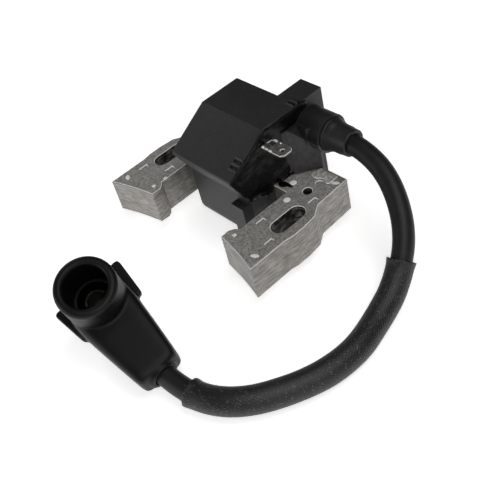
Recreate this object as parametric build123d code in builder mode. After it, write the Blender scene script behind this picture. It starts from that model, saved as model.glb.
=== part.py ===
from build123d import *
import math
import os

# Ignition coil of a small four-stroke engine: a laminated U core that bolts beside the
# flywheel, a potted coil housing round its yoke, and a high-voltage lead with a plug boot.
# Millimetres. The origin is midway between the two mounting slots, on the underside of the
# core. +Z is square to the laminations, +X runs from the left leg to the right leg, and +Y
# points away from the flywheel.

# ---- Driving dimensions ----
stack = 15.0                # height of the lamination stack
slot_x = 35.4               # half the distance between the mounting slots
slot_width = 6.6            # clears an M6 screw
slot_length = 16.0          # lets the coil move in and out to set its air gap
flywheel_radius = 139.3     # the pole faces are arcs about the crankshaft
flywheel_y = -159.1         # the crankshaft's place along Y
pole_inner_x = 21.2
pole_outer_x = 42.75
leg_inner_x = 24.0
leg_outer_x = 42.7
yoke_front = 10.5
yoke_back = 29.3
pin_d = 2.8                 # pins that hold the laminations together
hole_at = (30.5, 15.7)      # small locating hole in each leg
hole_d = 3.7

case_half = 17.2            # half the length of the coil housing along X
case_top = 42.2
case_floor = -7.0
case_front = -3.2           # lower front wall
lip_y = -9.3                # edge of the sloping hood
lip_z = 30.6
hood_fold = 10.5            # where the sloping hood meets the flat top
case_back = 39.5
wall = 1.4

tower_y = 33.5              # axis of the high-voltage outlet, which points along +X
tower_z = 30.2
collar_r = 7.75
collar_end = 29.3
cap_r = 5.7
cap_end = 40.5

lead_r = 4.0                # 8 mm high-tension cable
core_wire_r = 1.2
lead_fit = 0.05             # clearance of the cable in its bores
sleeve_r = 5.2              # braided sleeve, outside
sleeve_bore_r = 4.6

boot_mouth_r = 11.4
boot_bore_r = 7.9
boot_mouth_reach = 22.4     # elbow centre to the mouth
elbow = (6.8, -69.7, 10.7)  # centre of the boot's elbow
neck = (42.8, -71.6, 0.2)   # where the cable enters the boot
boot_roll = 12.0            # the boot lies rolled over a little about the cable
mouth_lean = 6.0            # the mouth leans back towards the cable

# The cable's route: out of the tower, down, round the front of the coil and into the boot.
boot_axis = (Vector(*elbow) - Vector(*neck)).normalized()
lead_depth = 10.0           # how far the cable reaches into the boot
lead_in = 6.5               # straight run outside the boot
route = [
    Vector(34.0, tower_y, tower_z),
    Vector(44.5, tower_y, tower_z),
    Vector(61.0, 29.6, 25.7),
    Vector(76.1, 18.8, 15.5),
    Vector(80.8, 6.0, 2.8),
    Vector(83.0, -7.0, -1.6),
    Vector(86.6, -23.3, -1.6),
    Vector(83.3, -41.6, -1.6),
    Vector(70.3, -64.5, -0.7),
    Vector(*neck) - boot_axis * lead_in,
    Vector(*neck) + boot_axis * lead_depth,
]

os.makedirs("parts", exist_ok=True)


def flywheel_face(x):
    """Y of the pole face at x: an arc about the crankshaft."""
    return flywheel_y + math.sqrt(flywheel_radius**2 - x**2)


def save(part, name):
    part.label = name
    export_step(part, f"parts/{name}.step")


def bend_radii(points):
    """The largest arc that each corner's two runs allow."""
    radii = []
    for before, at, after in zip(points, points[1:], points[2:]):
        turn = math.radians((at - before).get_angle(after - at))
        run = min((at - before).length, (after - at).length)
        radii.append(0.45 * run / math.tan(turn / 2))
    return radii


# ---- Laminated core: two L-shaped halves keyed together inside the winding ----
pin_spots = [(22.4, 16.0), (27.4, 7.5)]
dimple_spots = [(27.7, -6.8), (38.3, -12.7), (36.1, 12.8)]
recess_at = (31.2, 21.6)
key_depth = 4.0

with BuildSketch() as core_outline:
    with BuildLine():
        pole_mid = (pole_inner_x + pole_outer_x) / 2
        ThreePointArc(
            (pole_inner_x, flywheel_face(pole_inner_x)),
            (pole_mid, flywheel_face(pole_mid)),
            (pole_outer_x, flywheel_face(pole_outer_x)),
        )
        Polyline(
            (pole_outer_x, flywheel_face(pole_outer_x)),
            (leg_outer_x, -9.2),
            (43.4, -5.5),
            (43.4, 0.3),
            (leg_outer_x, 7.0),
            (39.3, 12.2),
            (38.5, yoke_back),
            (0, yoke_back),
            (0, yoke_front),
            (leg_inner_x, yoke_front),
            (leg_inner_x, -14.2),
            (22.2, -15.5),
            (21.0, -17.5),
            (pole_inner_x, flywheel_face(pole_inner_x)),
        )
    make_face()

with BuildSketch() as key_outline:
    with BuildLine():
        Polyline((0, 16.4), (key_depth, 15.4), (key_depth, 24.4), (0, 23.4), close=True)
    make_face()

with BuildPart() as core_half_right:
    with BuildSketch():
        add(core_outline.sketch)
        with Locations((slot_x, 0)):
            SlotOverall(slot_length, slot_width, rotation=90, mode=Mode.SUBTRACT)
        with Locations(hole_at):
            Circle(hole_d / 2, mode=Mode.SUBTRACT)
        with Locations(*pin_spots):
            Circle(pin_d / 2, mode=Mode.SUBTRACT)
        add(key_outline.sketch, mode=Mode.SUBTRACT)
    extrude(amount=stack)
    with BuildSketch(Plane.XY.offset(stack)):
        with Locations(*dimple_spots):
            Rectangle(1.8, 4.0)
        with Locations(recess_at):
            Circle(1.8)
    extrude(amount=-0.6, mode=Mode.SUBTRACT)
save(core_half_right.part, "core_half_right")

with BuildPart() as core_half_left:
    with BuildSketch():
        add(mirror(core_outline.sketch, about=Plane.YZ, mode=Mode.PRIVATE))
        with Locations((-slot_x, 0)):
            SlotOverall(slot_length, slot_width, rotation=90, mode=Mode.SUBTRACT)
        with Locations((-hole_at[0], hole_at[1])):
            Circle(hole_d / 2, mode=Mode.SUBTRACT)
        with Locations(*[(-x, y) for x, y in pin_spots]):
            Circle(pin_d / 2, mode=Mode.SUBTRACT)
        add(key_outline.sketch)
    extrude(amount=stack)
    with BuildSketch(Plane.XY.offset(stack)):
        with Locations(*[(-x, y) for x, y in dimple_spots]):
            Rectangle(1.8, 4.0)
        with Locations((-recess_at[0], recess_at[1])):
            Circle(1.8)
    extrude(amount=-0.6, mode=Mode.SUBTRACT)
save(core_half_left.part, "core_half_left")

# Four pins run through the whole stack, one pair in each leg.
with BuildPart() as core_pins:
    with BuildSketch():
        with Locations(*pin_spots, *[(-x, y) for x, y in pin_spots]):
            Circle(pin_d / 2)
    extrude(amount=stack + 0.15)
save(core_pins.part, "core_pins")

# ---- Coil housing: a moulded cup, open at its right end ----
window = 0.1                # clearance round the yoke
hood_back = 29.4
ear_x = 6.4                 # the ear rises behind the hood at its right end
ear_back = 42.5
ear_top = 41.8
end_wall_y = 15.2           # the end wall closes the ear side, above the core
end_wall_top = 37.0
under_hood = 18.0           # the hood's underside slopes back from the lip to the front wall
notch_length = 3.8          # pairs of shallow notches moulded into the hood at its open end
notch_width = 1.0
notch_depth = 0.6
slope_notches = (-4.4, -2.2)
top_notches = (28.2, 30.6)
pin_r = 0.9                 # high-voltage pin
spigot_r = 5.2              # tail of the outlet cap, in the collar
spigot_start = 22.0

with BuildSketch() as case_outline:
    with BuildLine():
        Polyline(
            (lip_y, lip_z - 1.2),
            (lip_y, lip_z),
            (hood_fold, case_top),
            (hood_back, case_top),
            (36.5, 29.0),
            (case_back, 21.0),
            (case_back, case_floor),
            (case_front, case_floor),
            (case_front, under_hood),
            close=True,
        )
    make_face()
    floor_corners = case_outline.vertices().group_by(Axis.Y)[0].sort_by(Axis.X)
    fillet(floor_corners[0], radius=7.0)
    fillet(floor_corners[1], radius=4.0)

with BuildSketch() as cavity_outline:
    add(case_outline.sketch)
    offset(amount=-wall, kind=Kind.INTERSECTION, mode=Mode.REPLACE)

with BuildPart() as coil_case:
    with BuildSketch(Plane.YZ.offset(-case_half)):
        add(case_outline.sketch)
    extrude(amount=2 * case_half)
    hood_edges = coil_case.edges().filter_by(Axis.X).filter_by_position(Axis.Z, 25.0, 50.0)
    fillet(hood_edges, radius=0.9)
    # The ear, over the root of the high-voltage outlet
    with BuildSketch(Plane.XY.offset(18)):
        with Locations(((ear_x + case_half) / 2, (ear_back + 26) / 2)):
            Rectangle(case_half - ear_x, ear_back - 26)
    extrude(amount=ear_top - 18)
    left_end = coil_case.faces().sort_by(Axis.X)[0]
    fillet(left_end.edges(), radius=0.8)
    # Inside of the cup, and of the ear
    with BuildSketch(Plane.YZ.offset(-case_half + wall)):
        add(cavity_outline.sketch)
    extrude(amount=2 * case_half - wall, mode=Mode.SUBTRACT)
    with BuildSketch(Plane.XY.offset(18 + wall)):
        with Locations(((ear_x + wall + case_half) / 2, (ear_back - wall + 26) / 2)):
            Rectangle(case_half - ear_x - wall, ear_back - wall - 26)
    extrude(amount=ear_top - 18 - 2 * wall, mode=Mode.SUBTRACT)
    # Window for the yoke in the closed left end
    with BuildSketch(Plane.YZ.offset(-case_half)):
        with Locations(((yoke_front + yoke_back) / 2, stack / 2)):
            Rectangle(yoke_back - yoke_front + 2 * window, stack + 2 * window)
    extrude(amount=wall, mode=Mode.SUBTRACT)
    # End wall under the ear, which carries the outlet
    with BuildSketch(Plane.YZ.offset(case_half - wall)):
        with BuildLine():
            Polyline(
                (end_wall_y, stack + window),
                (end_wall_y, end_wall_top),
                (26.0, end_wall_top),
                (26.0, ear_top),
                (ear_back, ear_top),
                (ear_back, 18.0),
                (case_back, 18.0),
                (case_back, stack + window),
                close=True,
            )
        make_face()
    extrude(amount=wall)
    # Collar of the outlet
    with BuildSketch(Plane.YZ.offset(case_half - wall)):
        with Locations((tower_y, tower_z)):
            Circle(collar_r)
    extrude(amount=collar_end - case_half + wall)
    # Gusset that stands on the core under the collar
    with BuildSketch(Plane.XY.offset(stack + window)):
        with BuildLine():
            Polyline(
                (case_half - wall, 17.0),
                (19.7, 20.2),
                (26.1, 29.3),
                (24.5, 30.5),
                (case_half - wall, 34.0),
                close=True,
            )
        make_face()
    extrude(amount=20.0)
    # The gusset's top falls away from the wall to the collar's underside
    with BuildSketch(Plane.XZ.offset(-25.7)):
        with BuildLine():
            Polyline((19.0, 34.7), (21.5, 30.0), (32.0, 14.0), (32.0, 45.0), (19.0, 45.0), close=True)
        make_face()
    extrude(amount=12.0, mode=Mode.SUBTRACT)
    with BuildSketch(Plane.YZ.offset(case_half)):
        with Locations((30.0, 42.9)):
            Rectangle(16.0, 10.0)
    extrude(amount=10.0, mode=Mode.SUBTRACT)
    with BuildSketch(Plane.YZ.offset(case_half)):
        with Locations((tower_y, tower_z)):
            Circle(collar_r)
    extrude(amount=collar_end - case_half)
    # Socket for the cap's tail, and the pin's hole
    with BuildSketch(Plane.YZ.offset(spigot_start)):
        with Locations((tower_y, tower_z)):
            Circle(spigot_r)
    extrude(amount=collar_end - spigot_start, mode=Mode.SUBTRACT)
    with BuildSketch(Plane.YZ.offset(case_half - wall)):
        with Locations((tower_y, tower_z)):
            Circle(pin_r)
    extrude(amount=spigot_start - case_half + wall, mode=Mode.SUBTRACT)
    # Rib at the lower front corner of the open end
    with BuildSketch(Plane.XY.offset(case_floor + 4.0)):
        with Locations(((10.5 + case_half) / 2, case_front - 1.7)):
            Rectangle(case_half - 10.5, 3.4)
    extrude(amount=stack - case_floor - 4.0)
    # Notches in the rim of the hood
    hood_slope = math.atan2(case_top - lip_z, hood_fold - lip_y)
    for y in slope_notches:
        z = lip_z + (y - lip_y) * math.tan(hood_slope)
        slope_plane = Plane(
            origin=(case_half - notch_length / 2, y, z),
            x_dir=(1, 0, 0),
            z_dir=(0, -math.sin(hood_slope), math.cos(hood_slope)),
        )
        with BuildSketch(slope_plane):
            Rectangle(notch_length, notch_width)
        extrude(amount=-notch_depth, mode=Mode.SUBTRACT)
    for y in top_notches:
        with BuildSketch(Plane.XY.offset(case_top)):
            with Locations((case_half - notch_length / 2, y)):
                Rectangle(notch_length, notch_width)
        extrude(amount=-notch_depth, mode=Mode.SUBTRACT)
save(coil_case.part, "coil_case")

# ---- Closing plate of the open end, below the top of the core ----
with BuildPart() as end_plate:
    with BuildSketch(Plane.YZ.offset(case_half - wall)):
        add(cavity_outline.sketch)
        with Locations((0, stack + window + 50)):
            Rectangle(200, 100, mode=Mode.SUBTRACT)
        with Locations(((yoke_front + yoke_back) / 2, stack / 2)):
            Rectangle(yoke_back - yoke_front + 2 * window, stack + 4 * window, mode=Mode.SUBTRACT)
    extrude(amount=wall)
save(end_plate.part, "end_plate")

# ---- Winding: primary bobbin and coil, wrap, secondary bobbin and coil ----
bobbin_half = case_half - wall - 0.2
tube = 0.8                  # wall of either bobbin
primary_build = 1.9
wrap_build = 0.2
secondary_build = 1.6
rib_build = 1.8
chambers = 8                # the secondary is wound in separate chambers
rib = 0.7

yoke_width = yoke_back - yoke_front
yoke_mid = ((yoke_front + yoke_back) / 2, stack / 2)


def ring(x, length, inner, outer, corner):
    """A rectangular sleeve round the yoke, both walls given as distances from it."""
    with BuildPart(mode=Mode.PRIVATE) as sleeve:
        with BuildSketch(Plane.YZ.offset(x)):
            with Locations(yoke_mid):
                if corner > 0:
                    RectangleRounded(yoke_width + 2 * outer, stack + 2 * outer, corner)
                else:
                    Rectangle(yoke_width + 2 * outer, stack + 2 * outer)
                Rectangle(yoke_width + 2 * inner, stack + 2 * inner, mode=Mode.SUBTRACT)
        extrude(amount=length)
    return sleeve.part


primary_in = window + tube
primary_out = primary_in + primary_build
wrap_out = primary_out + wrap_build
former_out = wrap_out + tube

with BuildPart() as primary_bobbin:
    add(ring(-bobbin_half, 2 * bobbin_half, window, primary_in, 0))
    add(ring(-bobbin_half, tube, window, primary_out, 0))
    add(ring(bobbin_half - tube, tube, window, primary_out, 0))
save(primary_bobbin.part, "primary_bobbin")

with BuildPart() as primary_winding:
    add(ring(-bobbin_half + tube, 2 * (bobbin_half - tube), primary_in, primary_out, 0))
save(primary_winding.part, "primary_winding")

with BuildPart() as winding_wrap:
    add(ring(-bobbin_half, 2 * bobbin_half, primary_out, wrap_out, 0))
save(winding_wrap.part, "winding_wrap")

chamber_pitch = (2 * bobbin_half - rib) / chambers
with BuildPart() as secondary_bobbin:
    add(ring(-bobbin_half, 2 * bobbin_half, wrap_out, former_out, 0))
    for i in range(chambers + 1):
        add(ring(-bobbin_half + i * chamber_pitch, rib, wrap_out, former_out + rib_build, 0))
save(secondary_bobbin.part, "secondary_bobbin")

with BuildPart() as secondary_winding:
    for i in range(chambers):
        start = -bobbin_half + i * chamber_pitch + rib
        add(ring(start, chamber_pitch - rib, former_out, former_out + secondary_build, 1.5))
save(secondary_winding.part, "secondary_winding")

# ---- Trigger circuit above the winding ----
board_z = 26.0
board_t = 1.6
board_x = (-13.0, 12.0)
board_y = (-0.5, 21.0)
deck = board_z + board_t

with BuildPart() as trigger_board:
    with BuildSketch(Plane.XY.offset(board_z)):
        with Locations((sum(board_x) / 2, sum(board_y) / 2)):
            Rectangle(board_x[1] - board_x[0], board_y[1] - board_y[0])
    extrude(amount=board_t)
save(trigger_board.part, "trigger_board")

with BuildPart() as switching_transistor:
    with BuildSketch(Plane.XY.offset(deck)):
        with Locations((-6.0, 13.0)):
            Rectangle(10.0, 9.0)
    extrude(amount=4.4)
save(switching_transistor.part, "switching_transistor")

with BuildPart() as board_resistors:
    for x in (2.0, 6.0):
        with BuildSketch(Plane.XZ.offset(-12.0)):
            with Locations((x, deck + 1.2)):
                Circle(1.2)
        extrude(amount=6.5)
save(board_resistors.part, "board_resistors")

with BuildPart() as board_diode:
    with BuildSketch(Plane.YZ.offset(-11.0)):
        with Locations((4.0, deck + 1.4)):
            Circle(1.4)
    extrude(amount=5.0)
save(board_diode.part, "board_diode")

with BuildPart() as board_capacitor:
    with BuildSketch(Plane.XY.offset(deck)):
        with Locations((-1.5, 3.0)):
            RectangleRounded(4.0, 4.6, 0.8)
    extrude(amount=4.0)
save(board_capacitor.part, "board_capacitor")

# Stop terminal: a 6.3 mm blade that the stop switch's wire pushes on to
blade_y = (8.5, 14.8)
blade_z = 34.6
blade_t = 0.8
blade_tip = 28.5
blade_root = 8.0
blade_hole = (25.6, 11.65)

with BuildPart() as stop_terminal:
    with BuildSketch(Plane.XY.offset(blade_z)):
        with Locations(((blade_root + blade_tip) / 2, sum(blade_y) / 2)):
            Rectangle(blade_tip - blade_root, blade_y[1] - blade_y[0])
    extrude(amount=blade_t)
    tip_edges = stop_terminal.edges().filter_by(Axis.Z).group_by(Axis.X)[-1]
    chamfer(tip_edges, length=1.3)
    with BuildSketch(Plane.XY.offset(blade_z)):
        with Locations(blade_hole):
            Circle(0.85)
    extrude(amount=blade_t, mode=Mode.SUBTRACT)
    with BuildSketch(Plane.XY.offset(deck)):
        with Locations((blade_root + blade_t / 2, sum(blade_y) / 2)):
            Rectangle(blade_t, 4.0)
    extrude(amount=blade_z - deck)
save(stop_terminal.part, "stop_terminal")

# Fine leads from the board to the primary
with BuildPart() as primary_leads:
    for x in (-10.0, 9.0):
        with BuildSketch(Plane.XY.offset(stack + former_out + rib_build)):
            with Locations((x, 19.0)):
                Circle(0.4)
        extrude(amount=board_z - stack - former_out - rib_build)
save(primary_leads.part, "primary_leads")

# ---- High-voltage outlet ----
with BuildPart() as high_voltage_pin:
    with BuildSketch(Plane.YZ.offset(10.0)):
        with Locations((tower_y, tower_z)):
            Circle(pin_r)
    extrude(amount=route[0].X - 10.0)
save(high_voltage_pin.part, "high_voltage_pin")

with BuildPart() as tower_cap:
    with BuildSketch(Plane.YZ.offset(spigot_start)):
        with Locations((tower_y, tower_z)):
            Circle(spigot_r)
    extrude(amount=collar_end - spigot_start)
    with BuildSketch(Plane.YZ.offset(collar_end)):
        with Locations((tower_y, tower_z)):
            Circle(collar_r - 0.9)
    with BuildSketch(Plane.YZ.offset(collar_end + 3.4)):
        with Locations((tower_y, tower_z)):
            Circle(cap_r)
    loft()
    with BuildSketch(Plane.YZ.offset(collar_end + 3.4)):
        with Locations((tower_y, tower_z)):
            Circle(cap_r)
    extrude(amount=cap_end - collar_end - 3.4)
    with BuildSketch(Plane.YZ.offset(route[0].X)):
        with Locations((tower_y, tower_z)):
            Circle(lead_r + lead_fit)
    extrude(amount=cap_end - route[0].X, mode=Mode.SUBTRACT)
    with BuildSketch(Plane.YZ.offset(spigot_start)):
        with Locations((tower_y, tower_z)):
            Circle(pin_r)
    extrude(amount=route[0].X - spigot_start, mode=Mode.SUBTRACT)
save(tower_cap.part, "tower_cap")

# ---- Potting compound: fills the cup round everything above ----
pot_face = case_half - 0.8
with BuildPart() as potting:
    with BuildSketch(Plane.YZ.offset(-case_half + wall)):
        add(cavity_outline.sketch)
    extrude(amount=pot_face + case_half - wall)
    with BuildSketch(Plane.YZ.offset(-bobbin_half - 0.2)):
        with Locations(yoke_mid):
            Rectangle(yoke_width + 2 * (former_out + rib_build), stack + 2 * (former_out + rib_build))
    extrude(amount=2 * bobbin_half + 0.4, mode=Mode.SUBTRACT)
    add(end_plate.part, mode=Mode.SUBTRACT)
    with BuildSketch(Plane.YZ.offset(case_half - 2 * wall)):
        with Locations(yoke_mid):
            Rectangle(yoke_width + 4 * window, stack + 4 * window)
    extrude(amount=2 * wall, mode=Mode.SUBTRACT)
    add(coil_case.part, mode=Mode.SUBTRACT)
    for piece in (
        trigger_board,
        switching_transistor,
        board_resistors,
        board_diode,
        board_capacitor,
        stop_terminal,
        primary_leads,
        high_voltage_pin,
    ):
        add(piece.part, mode=Mode.SUBTRACT)
save(potting.part, "potting")

# ---- Earth tab, staked to the back of the right leg ----
tab_t = 0.6
with BuildPart() as earth_tab:
    with BuildSketch(Plane.XY.offset(stack)):
        with BuildLine():
            Polyline((26.6, 24.6), (27.4, 28.4), (37.4, 28.4), (37.8, 23.6), (26.6, 24.6))
        make_face()
        with Locations(recess_at):
            Circle(2.5, mode=Mode.SUBTRACT)
    extrude(amount=tab_t)
save(earth_tab.part, "earth_tab")

# ---- High-tension cable ----
radii = bend_radii(route)
lead_path = FilletPolyline(*route, radius=radii)
start_plane = Plane(origin=route[0], z_dir=route[1] - route[0])

with BuildPart() as lead_jacket:
    with BuildSketch(start_plane):
        Circle(lead_r)
        Circle(core_wire_r, mode=Mode.SUBTRACT)
    sweep(path=lead_path)
save(lead_jacket.part, "lead_jacket")

with BuildPart() as lead_conductor:
    with BuildSketch(start_plane):
        Circle(core_wire_r)
    sweep(path=lead_path)
save(lead_conductor.part, "lead_conductor")

# The sleeve covers the cable from the middle of its fourth run to near the end of its ninth.
sleeve_first = 3
sleeve_last = 8
sleeve_reach = 0.78
sleeve_start = (route[sleeve_first] + route[sleeve_first + 1]) * 0.5
sleeve_stop = route[sleeve_last] + (route[sleeve_last + 1] - route[sleeve_last]) * sleeve_reach
sleeve_points = [sleeve_start, *route[sleeve_first + 1 : sleeve_last + 1], sleeve_stop]
sleeve_path = FilletPolyline(*sleeve_points, radius=radii[sleeve_first:sleeve_last])

with BuildPart() as braided_sleeve:
    with BuildSketch(Plane(origin=sleeve_start, z_dir=sleeve_points[1] - sleeve_start)):
        Circle(sleeve_r)
        Circle(sleeve_bore_r, mode=Mode.SUBTRACT)
    sweep(path=sleeve_path)
save(braided_sleeve.part, "braided_sleeve")

print("cable bend radii", [round(r, 1) for r in radii], "least allowed", 3 * 2 * lead_r)
for name, made, area, path in (
    ("jacket", lead_jacket, math.pi * (lead_r**2 - core_wire_r**2), lead_path),
    ("conductor", lead_conductor, math.pi * core_wire_r**2, lead_path),
    ("sleeve", braided_sleeve, math.pi * (sleeve_r**2 - sleeve_bore_r**2), sleeve_path),
):
    ratio = made.part.volume / area / path.length
    print(name, "length", round(path.length, 1), "volume ratio", round(ratio, 4))

# ---- Plug boot: a right-angled rubber boot that pushes over the spark plug ----
# Its frame: origin at the elbow, local X along the cable, local Z towards the mouth.
level = Vector(0, 0, 1).cross(boot_axis).normalized()
boot_up = boot_axis.cross(level).rotate(Axis((0, 0, 0), boot_axis), -boot_roll)
boot_frame = Plane(origin=elbow, x_dir=boot_axis, z_dir=boot_up)
mouth_frame = boot_frame.rotated((0, mouth_lean, 0))

elbow_back = -11.0          # back of the elbow
grip_t = 2.8                # grip plate, whose wings stand out on both sides of the elbow
grip_x = (-7.6, 9.4)
grip_half = (13.5, 15.3)
body_end = -35.5
neck_end = -(Vector(*elbow) - Vector(*neck)).length
bore_floor = -5.0
bore_step = 6.5             # the clip's chamber is a little narrower than the mouth
contact_r = 2.0


def across(x):
    """A plane square to the cable, x along the boot from its elbow."""
    return Plane(
        origin=boot_frame.from_local_coords((x, 0, 0)),
        x_dir=boot_frame.y_dir,
        z_dir=boot_frame.x_dir,
    )


with BuildPart() as plug_boot:
    with BuildSketch(across(body_end)):
        RectangleRounded(16.6, 12.6, 3.0)
    with BuildSketch(across(-8.0)):
        RectangleRounded(23.4, 18.4, 4.0)
    loft()
    with BuildSketch(across(neck_end)):
        Circle(5.8)
    extrude(amount=body_end - neck_end)
    with BuildSketch(across(-8.0)):
        RectangleRounded(23.4, 18.4, 4.0)
    extrude(amount=8.0)
    with BuildSketch(mouth_frame.offset(elbow_back)):
        Circle(boot_mouth_r)
    extrude(amount=boot_mouth_reach - elbow_back)
    with BuildSketch(boot_frame.offset(-grip_t / 2)) as grip_outline:
        with BuildLine():
            Polyline(
                (grip_x[0], -grip_half[0]),
                (grip_x[1], -grip_half[1]),
                (grip_x[1], grip_half[1]),
                (grip_x[0], grip_half[0]),
                close=True,
            )
        make_face()
        fillet(grip_outline.vertices(), radius=1.6)
    extrude(amount=grip_t)
    with BuildSketch(mouth_frame.offset(bore_floor)):
        Circle(boot_bore_r - 0.9)
    extrude(amount=boot_mouth_reach - bore_floor, mode=Mode.SUBTRACT)
    with BuildSketch(mouth_frame.offset(bore_step)):
        Circle(boot_bore_r)
    extrude(amount=boot_mouth_reach - bore_step, mode=Mode.SUBTRACT)
    with BuildSketch(across(neck_end)):
        Circle(lead_r + lead_fit)
    extrude(amount=lead_depth, mode=Mode.SUBTRACT)
    with BuildSketch(across(neck_end + lead_depth)):
        Circle(contact_r)
    extrude(amount=-neck_end - lead_depth, mode=Mode.SUBTRACT)
    rim = plug_boot.edges().filter_by(GeomType.CIRCLE).sort_by(Axis(elbow, mouth_frame.z_dir))[-2:]
    fillet(rim, radius=1.5)
save(plug_boot.part, "plug_boot")

# Contact needle: screws into the cable's core and reaches the clip
with BuildPart() as lead_needle:
    with BuildSketch(across(neck_end + lead_depth)):
        Circle(0.9)
    extrude(amount=-neck_end - lead_depth - 4.6)
save(lead_needle.part, "lead_needle")

# Spring clip that snaps on to the plug's terminal
clip_r = 4.4
with BuildPart() as plug_clip:
    with BuildSketch(mouth_frame.offset(bore_floor)):
        Circle(clip_r)
    extrude(amount=0.6)
    with BuildSketch(mouth_frame.offset(bore_floor)):
        Circle(clip_r)
        Circle(clip_r - 0.6, mode=Mode.SUBTRACT)
        Rectangle(2.0, 20.0, mode=Mode.SUBTRACT)
    extrude(amount=10.0)
save(plug_clip.part, "plug_clip")

mouth = mouth_frame.from_local_coords((0, 0, boot_mouth_reach - 4.0))
print("mouth bore point", mouth, "axis", mouth_frame.z_dir)
for made in (coil_case, plug_boot, braided_sleeve, lead_jacket):
    print(made.part.label, "lowest", round(made.part.bounding_box().min.Z, 3))
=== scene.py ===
import math
import random

import bmesh
import bpy
from mathutils import Matrix, Vector, noise


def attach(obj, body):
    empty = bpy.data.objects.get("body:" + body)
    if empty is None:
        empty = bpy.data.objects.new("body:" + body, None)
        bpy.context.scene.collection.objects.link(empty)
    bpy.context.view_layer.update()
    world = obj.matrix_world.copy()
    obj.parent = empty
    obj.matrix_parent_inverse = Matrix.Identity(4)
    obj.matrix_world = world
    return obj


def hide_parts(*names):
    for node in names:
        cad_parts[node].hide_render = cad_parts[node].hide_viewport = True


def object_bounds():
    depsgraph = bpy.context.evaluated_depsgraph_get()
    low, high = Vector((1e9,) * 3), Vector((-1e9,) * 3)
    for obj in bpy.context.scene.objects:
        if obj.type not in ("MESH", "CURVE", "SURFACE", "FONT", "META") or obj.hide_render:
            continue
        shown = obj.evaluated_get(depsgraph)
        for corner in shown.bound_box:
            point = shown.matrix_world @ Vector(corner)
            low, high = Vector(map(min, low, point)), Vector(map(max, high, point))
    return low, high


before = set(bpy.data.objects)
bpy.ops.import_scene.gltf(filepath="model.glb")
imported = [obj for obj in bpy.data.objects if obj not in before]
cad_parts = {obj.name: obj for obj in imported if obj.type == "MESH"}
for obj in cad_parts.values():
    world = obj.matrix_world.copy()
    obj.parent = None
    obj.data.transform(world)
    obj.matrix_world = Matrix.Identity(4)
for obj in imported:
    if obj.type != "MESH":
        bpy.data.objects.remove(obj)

cad_box = [list(corner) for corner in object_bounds()]
scene = bpy.context.scene

# ---- Camera ----
# A close view from above the front right corner, as held in the hand, so it is rolled a little.
camera_at = Vector((0.21935, -0.13784, 0.22113))
camera_aim = Vector((0.01730, -0.00813, -0.00526))
camera_roll = math.radians(15.3)
camera = bpy.data.objects.new("camera", bpy.data.cameras.new("camera"))
camera.data.sensor_width = 36.0
camera.data.lens = 59.79
camera.data.clip_start = 0.01
camera.location = camera_at
aim = (camera_aim - camera_at).to_track_quat("-Z", "Y")
camera.rotation_mode = "QUATERNION"
camera.rotation_quaternion = aim @ Matrix.Rotation(-camera_roll, 3, "Z").to_quaternion()
scene.collection.objects.link(camera)
scene.camera = camera

# ---- Laminated core ----
# Thirty stampings of 0.5 mm silicon steel a side, stacked in two L-shaped halves that are
# keyed together inside the winding. Blanking leaves a burr of bare steel round each sheet's edge, and
# the top sheet's is painted near white as a highlight.
mm = 0.001
stack = 15.0
sheet = 0.5
sheet_step = 0.035          # how far one sheet's edge stands out from the next
sheet_gap = 0.05
burr = 0.34
slot_x = 35.4
slot_half_width = 3.3
slot_half_length = 8.0
flywheel_radius = 139.3     # the pole faces are arcs about the crankshaft
flywheel_y = -159.1
pole_inner_x = 21.2
pole_outer_x = 42.75
leg_inner_x = 24.0
leg_outer_x = 42.7
bulge_x = 43.4              # the leg is wider beside its slot
yoke_front = 10.5
yoke_back = 29.3
key_depth = 4.0             # the halves meet in a dovetail
hole_at = (30.5, 15.7)
hole_r = 1.85
recess_at = (31.2, 21.6)
recess_r = 1.8
interlocks = [(27.7, -6.8), (38.3, -12.7), (36.1, 12.8)]
interlock_half = (0.9, 2.0)
interlock_slope = 0.22
pocket_depth = 0.35


def to_linear(hex_code):
    """An sRGB hex colour as linear RGBA."""
    channels = [int(hex_code[i : i + 2], 16) / 255 for i in (0, 2, 4)]
    return (*[c / 12.92 if c <= 0.04045 else ((c + 0.055) / 1.055) ** 2.4 for c in channels], 1.0)


def add_node(tree, kind, links=None, **settings):
    """Adds a node; links fills its inputs with values or with other nodes' outputs."""
    made = tree.nodes.new(kind)
    for name, value in settings.items():
        setattr(made, name, value)
    for name, value in (links or {}).items():
        if isinstance(value, bpy.types.NodeSocket):
            tree.links.new(value, made.inputs[name])
        else:
            made.inputs[name].default_value = value
    return made


def new_material(name, roughness, metallic=0.0, ior=1.5):
    """A material with its tree, its principled shader and object coordinates in metres."""
    material = bpy.data.materials.new(name)
    material.use_nodes = True
    tree = material.node_tree
    shader = tree.nodes["Principled BSDF"]
    shader.inputs["Roughness"].default_value = roughness
    shader.inputs["Metallic"].default_value = metallic
    if metallic < 1.0:
        shader.inputs["IOR"].default_value = ior
    place = add_node(tree, "ShaderNodeTexCoord").outputs["Object"]
    return material, tree, shader, place


def grains(tree, place, size, stretch=(1, 1, 1), detail=4.0):
    """Noise with grains of that size in mm."""
    scale = [s / (size * mm) for s in stretch]
    spread = add_node(tree, "ShaderNodeMapping", {"Vector": place, "Scale": scale})
    links = {"Vector": spread.outputs["Vector"], "Scale": 1.0, "Detail": detail, "Roughness": 0.6}
    return add_node(tree, "ShaderNodeTexNoise", links).outputs["Fac"]


def run_colours(tree, fac, hex_low, hex_high, low=0.0, high=1.0):
    """The colours that a pattern runs between."""
    ramp = add_node(tree, "ShaderNodeValToRGB", {"Fac": fac})
    ends = ramp.color_ramp.elements
    ends[0].position, ends[0].color = low, to_linear(hex_low)
    ends[1].position, ends[1].color = high, to_linear(hex_high)
    return ramp.outputs["Color"]


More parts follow.
